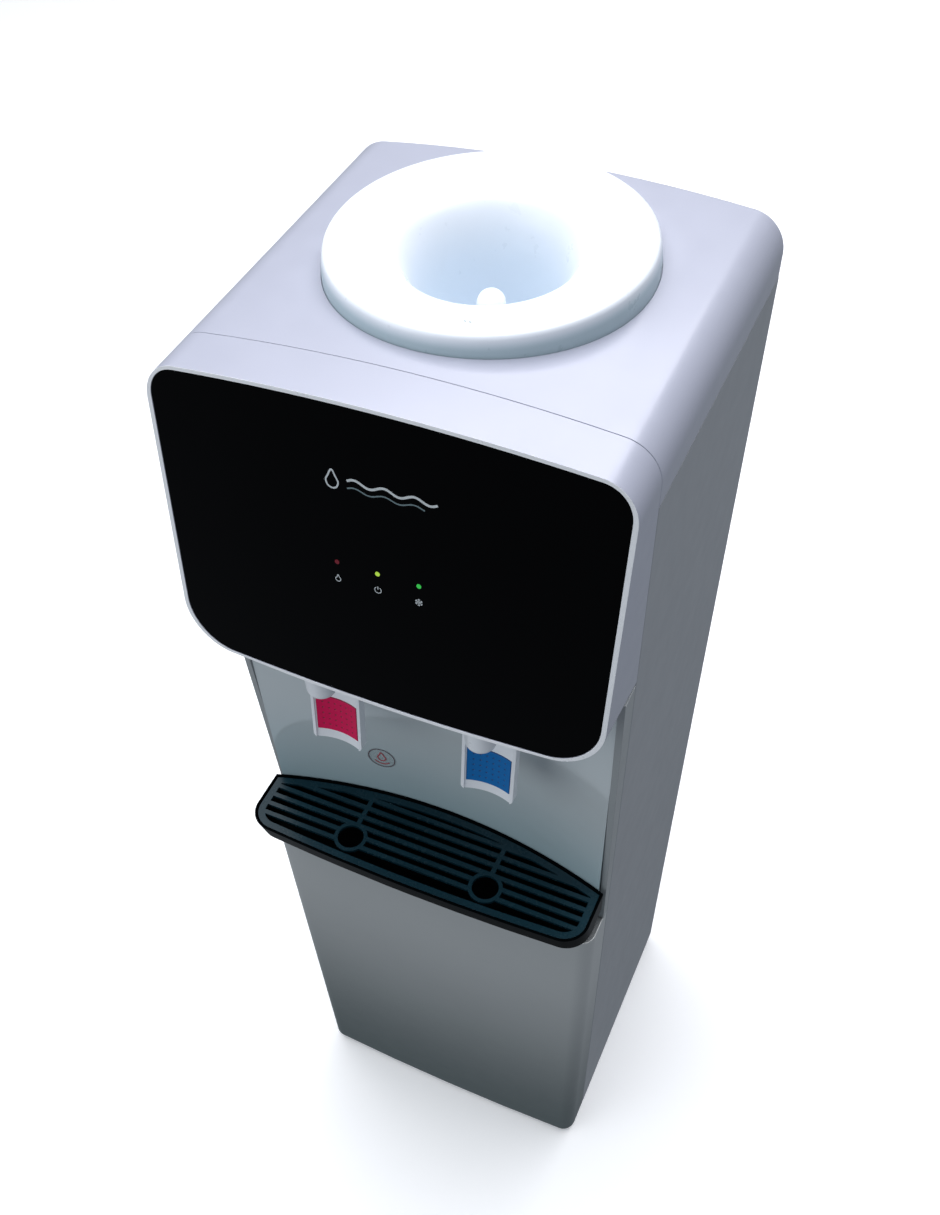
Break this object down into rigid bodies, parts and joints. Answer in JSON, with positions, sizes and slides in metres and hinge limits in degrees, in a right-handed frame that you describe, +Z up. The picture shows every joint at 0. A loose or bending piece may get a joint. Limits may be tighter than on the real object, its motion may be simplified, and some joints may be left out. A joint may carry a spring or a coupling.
{
  "type": "water dispenser",
  "caption": "Floor-standing water dispenser with a bottle seat on top, a dispensing bay with hot and cold paddle taps, a removable drip tray and a rear condenser.",
  "frame": {"origin": "on the floor under the middle of the whole object's box, between the two sides and between the drip tray's front and the condenser's rear", "axes": "+Z up, +Y from the taps towards the rear, +X to the right for a user who faces the taps"},
  "size_m": [0.31, 0.335, 0.989],
  "materials": {
    "pearl_plastic": "pearl silver moulded plastic, smooth gloss",
    "black_glass": "gloss black acrylic window",
    "white_plastic": "white moulded plastic",
    "grey_steel": "grey painted sheet steel, satin",
    "silver_splash": "glossy silver moulded plastic",
    "trim_grey": "grey moulded plastic",
    "lower_grey": "grey moulded plastic, semi gloss",
    "tray_black": "gloss black moulded plastic",
    "hot_red": "crimson moulded plastic with fine dimples",
    "cold_blue": "blue moulded plastic with fine dimples",
    "lamp_red": "translucent red lens",
    "lamp_amber": "translucent yellow-green lens",
    "lamp_green": "translucent green lens",
    "board_green": "circuit board",
    "stainless": "stainless steel",
    "zinc_steel": "zinc-coated sheet steel",
    "foam": "rigid polyurethane foam",
    "silicone": "translucent silicone hose",
    "copper": "drawn copper tube",
    "black_enamel": "black enamelled steel",
    "black_rubber": "black rubber",
    "black_plastic": "black moulded plastic",
    "switch_red": "red rocker",
    "switch_green": "green rocker",
    "label_film": "printed round film label"
  },
  "bodies": {
    "cabinet": {"head_bezel": "pearl_plastic", "top_cover": "pearl_plastic", "front_glass": "black_glass", "hot_indicator": "lamp_red", "power_indicator": "lamp_amber", "cold_indicator": "lamp_green", "indicator_board": "board_green", "splash_panel": "silver_splash", "bay_trims": "trim_grey", "bay_label": "label_film", "tray_shelf": "trim_grey", "lower_front_panel": "lower_grey", "left_side_panel": "grey_steel", "right_side_panel": "grey_steel", "rear_panel": "zinc_steel", "base_plate": "zinc_steel", "upper_shelf": "zinc_steel", "lower_shelf": "zinc_steel", "feet": "black_rubber", "hot_tap_body": "white_plastic", "cold_tap_body": "white_plastic", "tap_caps": "white_plastic", "tap_nuts": "white_plastic", "hot_valve_spring": "stainless", "cold_valve_spring": "stainless", "cold_tank": "stainless", "hot_tank": "stainless", "tank_lid": "white_plastic", "tank_baffle": "white_plastic", "evaporator_coil": "copper", "tank_insulation": "foam", "band_heater": "stainless", "hot_thermostat": "black_plastic", "cold_hose": "silicone", "hot_hose": "silicone", "tank_hoses": "silicone", "drain_spout": "white_plastic", "switch_housings": "black_plastic", "cord_gland": "black_plastic", "condenser_tube": "black_enamel", "condenser_frame": "black_enamel", "refrigerant_pipes": "copper", "filter_drier": "copper", "compressor": "black_enamel", "compressor_grommets": "black_rubber", "relay_cover": "black_plastic", "fasteners": "zinc_steel"},
    "hot_lever": {"hot_paddle": "white_plastic", "hot_paddle_pad": "hot_red"},
    "cold_lever": {"cold_paddle": "white_plastic", "cold_paddle_pad": "cold_blue"},
    "hot_valve": {"hot_valve_stem": "white_plastic"},
    "cold_valve": {"cold_valve_stem": "white_plastic"},
    "tray": {"drip_tray": "tray_black"},
    "grille": {"drip_grille": "tray_black"},
    "seat": {"bottle_seat": "white_plastic", "feed_probe": "white_plastic"},
    "hot_switch": {"hot_rocker": "switch_red"},
    "cold_switch": {"cold_rocker": "switch_green"},
    "drain_plug": {"drain_cap": "white_plastic"}
  },
  "joints": [
    {"name": "hot_paddle_swing", "type": "hinge", "parent": "cabinet", "child": "hot_lever", "pos_m": [-0.063, -0.11353, 0.785], "axis": [1, 0, 0], "range_deg": [0, 10], "stiffness_Nm_per_rad": 0.6, "springref_deg": -5.73},
    {"name": "hot_valve_travel", "type": "slide", "parent": "cabinet", "child": "hot_valve", "axis": [0, 0, -1], "range_m": [0, 0.0048], "deforming": ["hot_valve_spring"]},
    {"name": "cold_paddle_swing", "type": "hinge", "parent": "cabinet", "child": "cold_lever", "pos_m": [0.063, -0.11353, 0.785], "axis": [1, 0, 0], "range_deg": [0, 10], "stiffness_Nm_per_rad": 0.6, "springref_deg": -5.73},
    {"name": "cold_valve_travel", "type": "slide", "parent": "cabinet", "child": "cold_valve", "axis": [0, 0, -1], "range_m": [0, 0.0048], "deforming": ["cold_valve_spring"]},
    {"name": "tray_pull", "type": "slide", "parent": "cabinet", "child": "tray", "axis": [0, -1, 0], "range_m": [0, 0.09]},
    {"name": "grille_lift", "type": "slide", "parent": "tray", "child": "grille", "axis": [0, 0, 1], "range_m": [0, 0.05]},
    {"name": "seat_lift", "type": "slide", "parent": "cabinet", "child": "seat", "axis": [0, 0, 1], "range_m": [0, 0.12]},
    {"name": "hot_switch_rock", "type": "hinge", "parent": "cabinet", "child": "hot_switch", "pos_m": [-0.1, 0.15007, 0.76], "axis": [1, 0, 0], "range_deg": [0, 18]},
    {"name": "cold_switch_rock", "type": "hinge", "parent": "cabinet", "child": "cold_switch", "pos_m": [0.1, 0.15007, 0.76], "axis": [1, 0, 0], "range_deg": [0, 18]},
    {"name": "drain_cap_pull", "type": "slide", "parent": "cabinet", "child": "drain_plug", "axis": [0, 1, 0], "range_m": [0, 0.03]}
  ],
  "couplings": [
    {"joint": "hot_valve_travel", "follows": "hot_paddle_swing", "m_per_rad": 0.026929},
    {"joint": "cold_valve_travel", "follows": "cold_paddle_swing", "m_per_rad": 0.026929}
  ]
}
